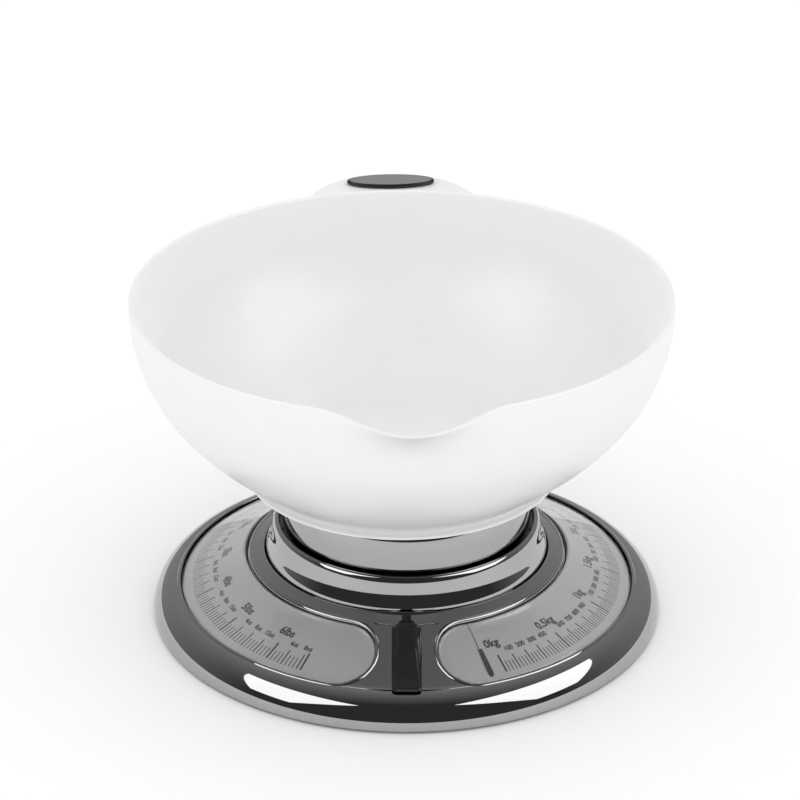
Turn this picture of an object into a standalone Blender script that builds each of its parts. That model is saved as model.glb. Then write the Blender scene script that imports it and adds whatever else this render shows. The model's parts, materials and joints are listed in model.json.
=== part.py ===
"""Mechanical kitchen scale with a lift-off bowl: every piece of the real object, in metres, +Z up.

The origin is at the middle of the sole, on the axis of the column. The front, with the zero lever and
the bowl's pouring lip, faces -Y. Headings are measured about +Z from the front, positive to the right (+X).
"""

import math

import bmesh
import bpy
from mathutils import Matrix, Vector

MM = 0.001
GAP = 0.3 * MM              # play left between pieces that touch

# Base
BASE_STEPS = 48             # facets round the turned pieces
RIM_CREST_R = 102.7 * MM    # where the dial cone meets the crest of the rim
RIM_CREST_Z = 14.6 * MM
RIM_ROUND = 12.8 * MM       # width of the bullnose, outside the crest
SHELL = 1.2 * MM            # wall of the chrome shell
SHELL_BOTTOM = 1.0 * MM
RIM_BASE_Z = 1.6 * MM       # where the bullnose starts to curve
RIM_RISE = RIM_CREST_Z - RIM_BASE_Z
CONE_SLOPE = 0.4327         # rise of the dial cone towards the column
SHELL_INNER_R = 64.4 * MM
PAN_R = 113.4 * MM
PAN_Z = 1.2 * MM
PAN_TOP = 3.2 * MM
FOOT_R = 92.0 * MM
SCREW_R = 108.4 * MM        # circle of the screws that join shell and pan

# Windows: kidney shapes on one centre line, with half-round ends beside the two bridges
WINDOW_MID_R = 87.3 * MM
WINDOW_HALF = 15.6 * MM     # half the width of the opening
WINDOW_END = math.radians(19.4)   # heading of the end centres, from the front and from the back
WINDOW_DEPTH = (0.6 * MM, 1.45 * MM, 2.0 * MM)   # top, flange top and underside, below the cone

# Dial, zero lever and pointer
DIAL_INNER_R = 66.0 * MM
DIAL_OUTER_R = 100.8 * MM
DIAL_DEPTH = 3.0 * MM       # dial face below the cone
DIAL_THICK = 1.2 * MM
LEVER_HALF = 6.5 * MM
LEVER_INNER_R = 73.0 * MM
LEVER_OUTER_R = 105.5 * MM
SLOT_HALF = 8.0 * MM
LEVER_NECK_Z = 30.2 * MM    # top of the neck that joins lever and dial
LEVER_NECK_HALF = 2.0 * MM
POINTER_HEADING = math.radians(22.2)
POINTER_DEPTH = 2.3 * MM
POINTER_THICK = 0.4 * MM
POINTER_TIP_R = 98.1 * MM
POINTER_Z = 28.0 * MM       # underside of the level part of the pointer

# Column, platform and bowl
COLLAR_R = 63.9 * MM
LIP_Z = 45.6 * MM
COLLAR_INNER_R = 57.5 * MM
COLLAR_FOOT_Z = 29.2 * MM
SKIRT_R = 56.0 * MM
SKIRT_WALL = 1.6 * MM
SKIRT_BOTTOM = 41.8 * MM
SHOULDER_Z = 55.8 * MM      # where the skirt starts to round over
SHOULDER_IN = 10.0 * MM
PLATFORM_Z = 70.5 * MM
PLATFORM_THICK = 2.0 * MM
BOWL_STEPS = 64
BOWL_R = 120.0 * MM
BOWL_RIM_Z = 154.9 * MM
BOWL_DROP = 107.2 * MM      # height of the curve that the wall follows a part of
BOWL_WALL = 2.2 * MM
BOWL_OFFSET_X = -2.0 * MM   # the bowl sits a little to the left of the column axis
BOWL_TURN = math.radians(2.3)
FLOOR_R = 62.0 * MM
FOOT_RING_R = 70.4 * MM
FOOT_RING_Z = 69.9 * MM
LIP_REACH = 14.0 * MM       # how far the pouring lip stands out
LIP_DIP = 3.7 * MM
LUG_R = 41.0 * MM
LUG_CENTRE = 105.3 * MM
LUG_TOP = 152.5 * MM
LUG_THICK = 2.4 * MM
GRIP_HALF = (20.7 * MM, 7.2 * MM)
GRIP_CENTRE = 133.0 * MM
GRIP_THICK = 1.9 * MM

# Movement
TRAVEL = 9.3 * MM           # the platform's way down at full load
PLATE_Z = (30.5 * MM, 32.0 * MM)
PLATE_R = 57.0 * MM
PILLAR_X = 9.5 * MM
PILLAR_Y = 49.4 * MM
PILLARS = [(x, y) for y in (PILLAR_Y, -PILLAR_Y) for x in (PILLAR_X, -PILLAR_X)]
ARM_LENGTH = 80.0 * MM
ARM_REAR_Y = 42.0 * MM
ARM_Z = {"lower": 40.0 * MM, "upper": 52.5 * MM}
ARM_RISE = math.asin(TRAVEL / 2 / ARM_LENGTH)
RAIL_X = 18.0 * MM
PIN_R = 1.2 * MM
CRANK_ARM = 16.0 * MM
CRANK_Y = 18.0 * MM
CRANK_Z = 51.5 * MM
CRANK_X = (9.0 * MM, 10.2 * MM)
CRANK_TILT = math.asin(TRAVEL / 2 / CRANK_ARM)
PINION_TEETH = 14
POINTER_TURN = math.radians(130.3)
PINION_R = TRAVEL / POINTER_TURN          # pitch radius
PITCH = 2 * math.pi * PINION_R / PINION_TEETH
MODULE = PITCH / math.pi
PINION_Z = (33.5 * MM, 37.5 * MM)
RACK_Z = (34.0 * MM, 37.0 * MM)
RACK_BACK_X = 7.8 * MM
SPRING_X = 32.0 * MM
SPRING_R = 7.5 * MM
SPRING_WIRE = 0.8 * MM


def cone_z(radius, depth=0.0):
    """Height of the dial cone at a radius, or of the surface a depth below it."""
    return RIM_CREST_Z + CONE_SLOPE * (RIM_CREST_R - radius) - depth


# ---------------------------------------------------------------- scene and small tools

for old in list(bpy.data.objects):
    bpy.data.objects.remove(old, do_unlink=True)
for old in list(bpy.data.collections):
    bpy.data.collections.remove(old)

parts = bpy.data.collections.new("kitchen_scale")
helpers = bpy.data.collections.new("cutters")
bpy.context.scene.collection.children.link(parts)
bpy.context.scene.collection.children.link(helpers)


def material(name, colour, roughness, metallic=0.0, transmission=0.0):
    mat = bpy.data.materials.new(name)
    mat.use_nodes = True
    shader = mat.node_tree.nodes["Principled BSDF"]
    shader.inputs["Base Color"].default_value = (*colour, 1.0)
    shader.inputs["Roughness"].default_value = roughness
    shader.inputs["Metallic"].default_value = metallic
    shader.inputs["Transmission Weight"].default_value = transmission
    return mat


CHROME = material("chrome", (0.82, 0.83, 0.84), 0.06, 1.0)
STEEL = material("plated_steel", (0.62, 0.62, 0.60), 0.35, 1.0)
SPRING_STEEL = material("spring_steel", (0.45, 0.46, 0.48), 0.3, 1.0)
BRASS = material("brass", (0.78, 0.62, 0.32), 0.3, 1.0)
SILVER = material("silver_dial", (0.68, 0.68, 0.68), 0.4, 0.3)
BLACK = material("black_plastic", (0.02, 0.02, 0.02), 0.2)
GREY = material("grey_plastic", (0.22, 0.22, 0.23), 0.5)
RUBBER = material("rubber", (0.05, 0.05, 0.05), 0.8)
GRIP_GREY = material("grip_rubber", (0.2, 0.2, 0.2), 0.7)
WINDOW = material("clear_window", (0.95, 0.95, 0.95), 0.03, 0.0, 1.0)
BOWL = material("pale_bowl", (0.88, 0.88, 0.88), 0.15, 0.0, 0.6)


def add(name, mesh, mat, collection=parts):
    """Puts a mesh in the scene as a named object, shaded smooth up to its hard edges."""
    if mat:
        mesh.materials.clear()
        mesh.materials.append(mat)
    mesh.shade_smooth()
    mesh.set_sharp_from_angle(angle=math.radians(30))
    obj = bpy.data.objects.new(name, mesh)
    collection.objects.link(obj)
    if collection is helpers:
        obj.hide_render = True
        obj.display_type = "WIRE"
    return obj


def boolean(obj, other, operation="DIFFERENCE"):
    mod = obj.modifiers.new(other.name, "BOOLEAN")
    mod.operation = operation
    mod.solver = "EXACT"
    mod.object = other
    return obj


def arc(centre_r, centre_z, radius_r, radius_z, start, end, count):
    """Points of an elliptic arc in the (r, z) plane, angles in degrees."""
    angles = [math.radians(start + (end - start) * i / (count - 1)) for i in range(count)]
    return [(centre_r + radius_r * math.cos(a), centre_z + radius_z * math.sin(a)) for a in angles]


def turned(name, profile, mat, steps=BASE_STEPS, collection=parts, centre=(0.0, 0.0)):
    """Turns a profile of (r, z) points about a vertical axis. A profile off the axis is closed into a loop."""
    area = sum(a[0] * b[1] - b[0] * a[1] for a, b in zip(profile, profile[1:] + profile[:1]))
    if area > 0:
        profile = profile[::-1]
    closed = min(r for r, _ in profile) > 1e-6
    mesh = bpy.data.meshes.new(name)
    edges = [(i, i + 1) for i in range(len(profile) - 1)]
    if closed:
        edges.append((len(profile) - 1, 0))
    mesh.from_pydata([(r, 0.0, z) for r, z in profile], edges, [])
    obj = add(name, mesh, mat, collection)
    obj.location = (*centre, 0.0)
    mod = obj.modifiers.new("turn", "SCREW")
    mod.axis = "Z"
    mod.steps = steps
    mod.render_steps = steps
    mod.use_merge_vertices = True
    mod.merge_threshold = 1e-5
    mod.use_smooth_shade = True
    return obj


def curve_mesh(name, curve):
    """The mesh of a curve with its caps welded. The curve itself is removed."""
    holder = bpy.data.objects.new(name + "_curve", curve)
    bpy.context.scene.collection.objects.link(holder)
    graph = bpy.context.evaluated_depsgraph_get()
    mesh = bpy.data.meshes.new_from_object(holder.evaluated_get(graph))
    bpy.data.objects.remove(holder, do_unlink=True)
    bm = bmesh.new()
    bm.from_mesh(mesh)
    bmesh.ops.remove_doubles(bm, verts=bm.verts, dist=1e-6)
    bm.to_mesh(mesh)
    bm.free()
    mesh.name = name
    return mesh


def extruded(name, outlines, thickness, mat, place=Matrix(), collection=parts):
    """A flat plate from closed outlines of (x, y) points, holes included, centred on z = 0 and then placed."""
    curve = bpy.data.curves.new(name, "CURVE")
    curve.dimensions = "2D"
    curve.fill_mode = "BOTH"
    curve.extrude = thickness / 2
    for outline in outlines:
        spline = curve.splines.new("POLY")
        spline.points.add(len(outline) - 1)
        for point, (x, y) in zip(spline.points, outline):
            point.co = (x, y, 0.0, 1.0)
        spline.use_cyclic_u = True
    obj = add(name, curve_mesh(name, curve), mat, collection)
    obj.matrix_world = place
    return obj


def box(name, low, high, mat, collection=parts):
    bm = bmesh.new()
    bmesh.ops.create_cube(bm, size=1.0)
    size = Vector(high) - Vector(low)
    middle = (Vector(high) + Vector(low)) / 2
    bmesh.ops.scale(bm, vec=size, verts=bm.verts)
    bmesh.ops.translate(bm, vec=middle, verts=bm.verts)
    mesh = bpy.data.meshes.new(name)
    bm.to_mesh(mesh)
    bm.free()
    return add(name, mesh, mat, collection)


def rod(name, start, end, radius, mat, collection=parts, segments=16):
    """A round rod between two points, its origin at the middle."""
    start, end = Vector(start), Vector(end)
    bm = bmesh.new()
    bmesh.ops.create_cone(bm, cap_ends=True, segments=segments, radius1=radius, radius2=radius,
                          depth=(end - start).length)
    mesh = bpy.data.meshes.new(name)
    bm.to_mesh(mesh)
    bm.free()
    obj = add(name, mesh, mat, collection)
    turn = Vector((0, 0, 1)).rotation_difference(end - start).to_matrix().to_4x4()
    obj.matrix_world = Matrix.Translation((start + end) / 2) @ turn
    return obj


def circle(radius, count=16, centre=(0.0, 0.0)):
    return [(centre[0] + radius * math.cos(2 * math.pi * i / count),
             centre[1] + radius * math.sin(2 * math.pi * i / count)) for i in range(count)]


def helix(name, radius, wire, turns, start, end, mat):
    """A coil spring of round wire from one point to another."""
    start, end = Vector(start), Vector(end)
    count = turns * 10 + 1
    curve = bpy.data.curves.new(name, "CURVE")
    curve.dimensions = "3D"
    curve.fill_mode = "FULL"
    curve.bevel_depth = wire
    curve.bevel_resolution = 0
    curve.use_fill_caps = True
    spline = curve.splines.new("POLY")
    spline.points.add(count - 1)
    turn = Vector((0, 0, 1)).rotation_difference(end - start)
    length = (end - start).length - 2 * wire
    for i, point in enumerate(spline.points):
        angle = 2 * math.pi * i / 10
        local = Vector((radius * math.cos(angle), radius * math.sin(angle), wire + length * i / (count - 1)))
        point.co = (*(start + turn @ local), 1.0)
    return add(name, curve_mesh(name, curve), mat)


def yz_plate(name, outlines, x_low, x_high, mat, collection=parts):
    """A plate standing in the YZ plane between two x values; its outlines are (y, z) points."""
    stand = Matrix(((0, 0, 1, (x_low + x_high) / 2), (1, 0, 0, 0), (0, 1, 0, 0), (0, 0, 0, 1)))
    return extruded(name, outlines, x_high - x_low, mat, stand, collection)


def rectangle(low_x, low_y, high_x, high_y):
    return [(low_x, low_y), (high_x, low_y), (high_x, high_y), (low_x, high_y)]


def kidney(side, half_width):
    """Outline of a window on the right (side 1) or left (side -1): two arcs joined by half-round ends."""
    def at(radius, heading):
        return (side * radius * math.sin(heading), -radius * math.cos(heading))

    start, end = WINDOW_END, math.pi - WINDOW_END
    count = 17
    sweep = [start + (end - start) * i / count for i in range(count + 1)]
    points = [at(WINDOW_MID_R + half_width, h) for h in sweep]
    for centre_heading, order in ((end, 1), (start, -1)):
        centre = at(WINDOW_MID_R, centre_heading)
        for i in range(1, 8):
            bend = math.pi * i / 8
            out = half_width * math.cos(bend) * order
            along = half_width * math.sin(bend) * order
            points.append((centre[0] + side * (out * math.sin(centre_heading) + along * math.cos(centre_heading)),
                           centre[1] - out * math.cos(centre_heading) + along * math.sin(centre_heading)))
        if order == 1:
            points += [at(WINDOW_MID_R - half_width, h) for h in reversed(sweep)]
    return points


def kidney_prism(name, side, half_width):
    lift = Matrix.Translation((0, 0, 20 * MM))
    return extruded(name, [kidney(side, half_width)], 40 * MM, None, lift, helpers)


# ---------------------------------------------------------------- base

def base_shell():
    """Chrome shell: bullnose rim, dial cone with two window openings, and the slot for the zero lever."""
    outer = [(SHELL_INNER_R, 29.4 * MM), (SHELL_INNER_R, cone_z(65.6 * MM)), (65.6 * MM, cone_z(65.6 * MM))]
    outer += arc(RIM_CREST_R, RIM_BASE_Z, RIM_ROUND, RIM_RISE, 90, 0, 8)
    outer += [(115.4 * MM, SHELL_BOTTOM), (114.2 * MM, SHELL_BOTTOM)]
    inner = arc(RIM_CREST_R, RIM_BASE_Z, RIM_ROUND - SHELL, RIM_RISE - SHELL, 0, 90, 5)
    inner += [(65.6 * MM, cone_z(65.6 * MM, SHELL)), (65.6 * MM, 29.4 * MM)]
    shell = turned("base_shell", outer + inner, CHROME)
    for side, word in ((1, "right"), (-1, "left")):
        boolean(shell, kidney_prism("opening_" + word, side, WINDOW_HALF))
    boolean(shell, box("lever_slot", (-SLOT_HALF, -71 * MM, 20 * MM), (SLOT_HALF, -60 * MM, 40 * MM), None, helpers))
    for i in range(4):
        heading = math.radians(45 + 90 * i)
        x, y = SCREW_R * math.sin(heading), -SCREW_R * math.cos(heading)
        boss = rod(f"shell_boss_{i + 1}", (x, y, PAN_TOP + GAP), (x, y, 14.0 * MM), 3.1 * MM, None, helpers)
        trim = turned(f"boss_trim_{i + 1}", shell_underside(), None, collection=helpers)
        boolean(boss, trim, "INTERSECT")
        boolean(boss, rod(f"boss_hole_{i + 1}", (x, y, 0), (x, y, 9 * MM), 1.5 * MM, None, helpers))
        boolean(shell, boss, "UNION")


def shell_underside():
    """The solid of revolution that fills the shell to the middle of its wall."""
    half = SHELL / 2
    return ([(0.0, cone_z(80 * MM)), (80 * MM, cone_z(80 * MM, half))]
            + arc(RIM_CREST_R, RIM_BASE_Z, RIM_ROUND - half, RIM_RISE - half, 90, 0, 6) + [(0.0, RIM_BASE_Z)])


def bottom_pan():
    """Bottom pan with its sole boss, two ribs that carry the dial ring, and four pillars for the movement."""
    outer_rib = cone_z(98.7 * MM, DIAL_DEPTH + DIAL_THICK + GAP)
    inner_rib = cone_z(68.7 * MM, DIAL_DEPTH + DIAL_THICK + GAP)
    profile = [(0.0, PAN_TOP), (67.4 * MM, PAN_TOP), (67.4 * MM, inner_rib), (69.0 * MM, inner_rib - 0.8 * MM),
               (69.0 * MM, PAN_TOP), (97.6 * MM, PAN_TOP), (97.6 * MM, outer_rib), (99.2 * MM, outer_rib - 0.8 * MM),
               (99.2 * MM, PAN_TOP), (PAN_R, PAN_TOP), (PAN_R, PAN_Z), (12 * MM, PAN_Z), (12 * MM, 0.0), (0.0, 0.0)]
    pan = turned("bottom_pan", profile, GREY)
    for i, (x, y) in enumerate(PILLARS):
        pillar = rod(f"pillar_{i + 1}", (x, y, 2 * MM), (x, y, PLATE_Z[0] - GAP), 3.2 * MM, None, helpers)
        boolean(pillar, rod(f"pillar_hole_{i + 1}", (x, y, 22 * MM), (x, y, 40 * MM), 1.5 * MM, None, helpers))
        boolean(pan, pillar, "UNION")
    for i in range(4):
        heading = math.radians(45 + 90 * i)
        x, y = SCREW_R * math.sin(heading), -SCREW_R * math.cos(heading)
        boolean(pan, rod(f"pan_hole_{i + 1}", (x, y, 0), (x, y, 5 * MM), 1.6 * MM, None, helpers))


def screw(name, x, y, head_z, head_height, tip_z, head_r=2.8 * MM):
    """A pan-head screw, its head towards head_z + head_height and its shank running to tip_z."""
    outer = head_z + head_height
    profile = [(0.0, outer), (head_r * 0.8, outer), (head_r, head_z + head_height * 0.4), (head_r, head_z),
               (PIN_R, head_z), (PIN_R, tip_z), (0.0, tip_z)]
    turned(name, profile, STEEL, 16, centre=(x, y))


def feet_and_screws():
    for i, (x, y) in enumerate(((1, -1), (1, 1), (-1, 1), (-1, -1))):
        reach = FOOT_R * math.sqrt(0.5)
        profile = [(0.0, 0.9 * MM), (8 * MM, 0.9 * MM), (8 * MM, 0.3 * MM), (7.6 * MM, 0.0), (0.0, 0.0)]
        turned(f"foot_{i + 1}", profile, RUBBER, 24, centre=(x * reach, y * reach))
        spot = SCREW_R * math.sqrt(0.5)
        screw(f"pan_screw_{i + 1}", x * spot, y * spot, PAN_Z - GAP, -0.55 * MM, 8 * MM)
    for i, (x, y) in enumerate(PILLARS):
        screw(f"chassis_screw_{i + 1}", x, y, PLATE_Z[1] + GAP, 1.3 * MM, 23 * MM)


def windows():
    """Clear windows: a raised middle that fills the opening, on a flange under the shell."""
    top, flange_top, under = WINDOW_DEPTH
    inner, outer = 66.5 * MM, 106 * MM
    for side, word in ((1, "right"), (-1, "left")):
        layers = {}
        for kind, upper, half in (("middle", top, WINDOW_HALF - GAP), ("flange", flange_top, WINDOW_HALF + 1.7 * MM)):
            low = under if kind == "flange" else under - 0.1 * MM
            profile = [(inner, cone_z(inner, upper)), (outer, cone_z(outer, upper)),
                       (outer, cone_z(outer, low)), (inner, cone_z(inner, low))]
            name = f"{word}_window" if kind == "flange" else f"{word}_window_middle"
            mat, place = (WINDOW, parts) if kind == "flange" else (None, helpers)
            layers[kind] = boolean(turned(name, profile, mat, collection=place),
                                   kidney_prism(f"{word}_{kind}_outline", side, half), "INTERSECT")
        boolean(layers["flange"], layers["middle"], "UNION")


def column_collar():
    """Chrome collar with a rolled lip; the chassis plate rests on its inner ledge."""
    profile = [(COLLAR_R, COLLAR_FOOT_Z), (COLLAR_R, 31.2 * MM), (63.4 * MM, 33.3 * MM), (62.3 * MM, 35.5 * MM),
               (61.4 * MM, 38.0 * MM), (60.7 * MM, 41.5 * MM), (60.1 * MM, 44.3 * MM), (59.3 * MM, 45.3 * MM),
               (58.6 * MM, LIP_Z), (58.0 * MM, LIP_Z),
               (COLLAR_INNER_R, 45.0 * MM), (COLLAR_INNER_R, COLLAR_FOOT_Z + 1 * MM),
               (52 * MM, COLLAR_FOOT_Z + 1 * MM), (52 * MM, COLLAR_FOOT_Z)]
    collar = turned("column_collar", profile, CHROME)
    for i, (x, y) in enumerate(PILLARS):
        boolean(collar, rod(f"collar_relief_{i + 1}", (x, y, 25 * MM), (x, y, 31 * MM), 4 * MM, None, helpers))


# ---------------------------------------------------------------- dial, lever and pointer

def dial_and_lever():
    face, back = DIAL_DEPTH, DIAL_DEPTH + DIAL_THICK
    turned("dial_ring", [(DIAL_INNER_R, cone_z(DIAL_INNER_R, face)), (DIAL_OUTER_R, cone_z(DIAL_OUTER_R, face)),
                         (DIAL_OUTER_R, cone_z(DIAL_OUTER_R, back)), (DIAL_INNER_R, cone_z(DIAL_INNER_R, back))], SILVER)
    lever, half = zero_lever_body(), LEVER_NECK_HALF
    neck = box("lever_neck", (-half, -70.4 * MM, 20 * MM), (half, -66.4 * MM, LEVER_NECK_Z), None, helpers)
    boolean(neck, above_cone("neck_reach", DIAL_DEPTH - GAP), "INTERSECT")
    root = box("lever_root", (-half, -74.5 * MM, 20 * MM), (half, -68.2 * MM, LEVER_NECK_Z), None, helpers)
    boolean(root, above_cone("root_reach", -GAP), "INTERSECT")
    boolean(lever, root, "UNION")
    boolean(lever, neck, "UNION")


def above_cone(name, depth):
    """A ring that fills the space above the surface a depth below the cone, near the lever's neck."""
    near, far, ceiling = 60 * MM, 80 * MM, 40 * MM
    profile = [(near, cone_z(near, depth)), (far, cone_z(far, depth)), (far, ceiling), (near, ceiling)]
    return turned(name, profile, None, collection=helpers)


def zero_lever_body():
    """The lever's bar: a wedge with a raised ridge, lofted from its tall inner end to its thin outer end."""
    def section(radius, ridge, height):
        low = cone_z(radius, -0.5 * MM) if radius < RIM_CREST_R else RIM_CREST_Z + 0.4 * MM
        half = [(LEVER_HALF, 0.0), (LEVER_HALF - 0.2 * MM, 0.45 * height), (LEVER_HALF - 0.9 * MM, 0.55 * height),
                (ridge + 0.3 * MM, 0.62 * height), (ridge, 0.95 * height), (ridge - 0.5 * MM, height)]
        points = half + [(-x, z) for x, z in reversed(half)]
        return [Vector((x, -radius, low + z)) for x, z in points]

    stations = [section(LEVER_INNER_R, 3.6 * MM, 4.6 * MM), section(77 * MM, 3.8 * MM, 5.0 * MM),
                section(RIM_CREST_R - 0.2 * MM, 5.2 * MM, 2.4 * MM), section(LEVER_OUTER_R, 5.4 * MM, 1.5 * MM)]
    bm = bmesh.new()
    rings = [[bm.verts.new(p) for p in ring] for ring in stations]
    for first, second in zip(rings, rings[1:]):
        for i in range(len(first)):
            j = (i + 1) % len(first)
            bm.faces.new((first[i], first[j], second[j], second[i]))
    bm.faces.new(rings[0])
    bm.faces.new(rings[-1])
    bmesh.ops.recalc_face_normals(bm, faces=bm.faces)
    mesh = bpy.data.meshes.new("zero_lever")
    bm.to_mesh(mesh)
    bm.free()
    return add("zero_lever", mesh, BLACK)


def pointer_and_drive():
    """Two-ended pointer, its hub, the spindle and the pinion, all on the column axis."""
    knee = 65.3 * MM
    low = [(-POINTER_TIP_R, cone_z(POINTER_TIP_R, POINTER_DEPTH + POINTER_THICK)), (-knee, POINTER_Z),
           (knee, POINTER_Z), (POINTER_TIP_R, cone_z(POINTER_TIP_R, POINTER_DEPTH + POINTER_THICK))]
    outline = low + [(x, z + POINTER_THICK) for x, z in reversed(low)]
    stand = (Matrix.Rotation(POINTER_HEADING - math.pi / 2, 4, "Z")
             @ Matrix(((1, 0, 0, 0), (0, 0, -1, 0), (0, 1, 0, 0), (0, 0, 0, 1))))
    pointer = extruded("pointer", [outline], 1.6 * MM, BLACK, stand)
    boolean(pointer, rod("pointer_disc", (0, 0, POINTER_Z), (0, 0, POINTER_Z + POINTER_THICK), 6 * MM, None, helpers, 24),
            "UNION")
    boolean(pointer, rod("pointer_bore", (0, 0, 20 * MM), (0, 0, 35 * MM), 1.8 * MM, None, helpers))
    turned("pointer_hub", [(1.8 * MM, POINTER_Z - GAP), (5 * MM, POINTER_Z - GAP), (5 * MM, 24.5 * MM),
                           (1.8 * MM, 24.5 * MM)], BRASS, 24)
    rod("spindle", (0, 0, PAN_TOP + GAP), (0, 0, 41.0 * MM), 1.5 * MM, STEEL)
    turned("spindle_bush", [(1.8 * MM, 9 * MM), (4 * MM, 9 * MM), (4 * MM, PAN_TOP + GAP), (1.8 * MM, PAN_TOP + GAP)],
           BRASS, 24)
    teeth = []
    for i in range(PINION_TEETH):
        middle = 2 * math.pi * (i + 0.5) / PINION_TEETH
        for radius, width in ((PINION_R - 1.25 * MODULE, -0.27), (PINION_R, -0.19), (PINION_R + 0.85 * MODULE, -0.09),
                              (PINION_R + 0.85 * MODULE, 0.09), (PINION_R, 0.19), (PINION_R - 1.25 * MODULE, 0.27)):
            angle = middle + width * PITCH / PINION_R
            teeth.append((radius * math.cos(angle), radius * math.sin(angle)))
    middle_z = (PINION_Z[0] + PINION_Z[1]) / 2
    extruded("pinion", [teeth, circle(1.8 * MM)], PINION_Z[1] - PINION_Z[0], BRASS, Matrix.Translation((0, 0, middle_z)))


# ---------------------------------------------------------------- movement

def rack():
    """Rack beside the pinion, with the stud that the bell crank pushes."""
    front, back = -13.0 * MM, 18.0 * MM
    outline = [(RACK_BACK_X, front), (RACK_BACK_X, back)]
    root_x = PINION_R + 1.25 * MODULE
    outline.append((root_x, back))
    for i in range(5, -7, -1):
        middle = i * PITCH
        for x, width in ((root_x, 0.27), (PINION_R, 0.19), (PINION_R - 0.85 * MODULE, 0.09),
                         (PINION_R - 0.85 * MODULE, -0.09), (PINION_R, -0.19), (root_x, -0.27)):
            outline.append((x, middle + width * PITCH))
    outline.append((root_x, front))
    middle_z = (RACK_Z[0] + RACK_Z[1]) / 2
    bar = extruded("rack", [outline], RACK_Z[1] - RACK_Z[0], STEEL, Matrix.Translation((0, 0, middle_z)))
    stud_y = CRANK_Y - CRANK_ARM * math.sin(CRANK_TILT)
    boolean(bar, rod("rack_stud", (RACK_BACK_X - 0.5 * MM, stud_y, 35.5 * MM), (11.2 * MM, stud_y, 35.5 * MM), 0.9 * MM,
                     None, helpers, 12), "UNION")
    box("rack_guide", (8.2 * MM, -12 * MM, PLATE_Z[1] + GAP), (10.6 * MM, -5 * MM, 38 * MM), GREY)
    rod("spring_post", (6.3 * MM, -30 * MM, PLATE_Z[1] + GAP), (6.3 * MM, -30 * MM, 38.5 * MM), 1.0 * MM, STEEL, segments=12)
    helix("backlash_spring", 1.3 * MM, 0.25 * MM, 7, (6.3 * MM, -28.6 * MM, 35.5 * MM), (6.3 * MM, front - GAP, 35.5 * MM),
          SPRING_STEEL)


def bell_crank():
    """Bell crank that turns the platform's way down into the rack's way back, with its pin and bracket."""
    def tilted(y, z):
        c, s = math.cos(-CRANK_TILT), math.sin(-CRANK_TILT)
        return (CRANK_Y + y * c - z * s, CRANK_Z + y * s + z * c)

    arm, half = CRANK_ARM, 2.2 * MM
    fork = 1.35 * MM
    body = [(-arm - 1.8 * MM, -1.8 * MM), (-half - 1.2 * MM, -2.6 * MM), (-half - 0.8 * MM, -arm - 2.6 * MM),
            (-fork, -arm - 2.6 * MM), (-fork, -arm + 1.6 * MM), (fork, -arm + 1.6 * MM), (fork, -arm - 2.6 * MM),
            (half + 0.8 * MM, -arm - 2.6 * MM), (half + 1.6 * MM, 0.0), (2.6 * MM, 2.9 * MM), (0.0, 3.8 * MM),
            (-arm - 1.8 * MM, 1.8 * MM)]
    hole = [tilted(y, z) for y, z in circle(1.5 * MM, 16)]
    crank = yz_plate("bell_crank", [[tilted(y, z) for y, z in body], hole], *CRANK_X, STEEL)
    pin_y, pin_z = tilted(-arm, 0.0)
    boolean(crank, rod("crank_drive_pin", (9.6 * MM, pin_y, pin_z), (13.2 * MM, pin_y, pin_z), 0.9 * MM, None, helpers, 12),
            "UNION")
    rod("crank_pin", (8.2 * MM, CRANK_Y, CRANK_Z), (14.2 * MM, CRANK_Y, CRANK_Z), PIN_R, STEEL)
    floor = PLATE_Z[1] + GAP
    ear = [(CRANK_Y - 5 * MM, floor), (CRANK_Y + 5 * MM, floor), (CRANK_Y + 3.4 * MM, CRANK_Z + 3 * MM),
           (CRANK_Y - 3.4 * MM, CRANK_Z + 3 * MM)]
    bracket = yz_plate("crank_bracket", [ear, circle(1.5 * MM, 16, (CRANK_Y, CRANK_Z))], 12.4 * MM, 13.8 * MM, STEEL)
    boolean(bracket, box("crank_bracket_foot", (12.4 * MM, CRANK_Y - 5 * MM, floor), (16.6 * MM, CRANK_Y + 5 * MM, floor + 1.2 * MM),
                         None, helpers), "UNION")
    plate = rectangle(pin_y - 5 * MM, 53.4 * MM, pin_y + 5 * MM, PLATFORM_Z - PLATFORM_THICK - GAP)
    slot = rectangle(pin_y - 2.4 * MM, pin_z - 1.3 * MM, pin_y + 2.4 * MM, pin_z + 1.3 * MM)
    yz_plate("push_bracket", [plate, slot], 11.2 * MM, 12.6 * MM, STEEL)


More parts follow.
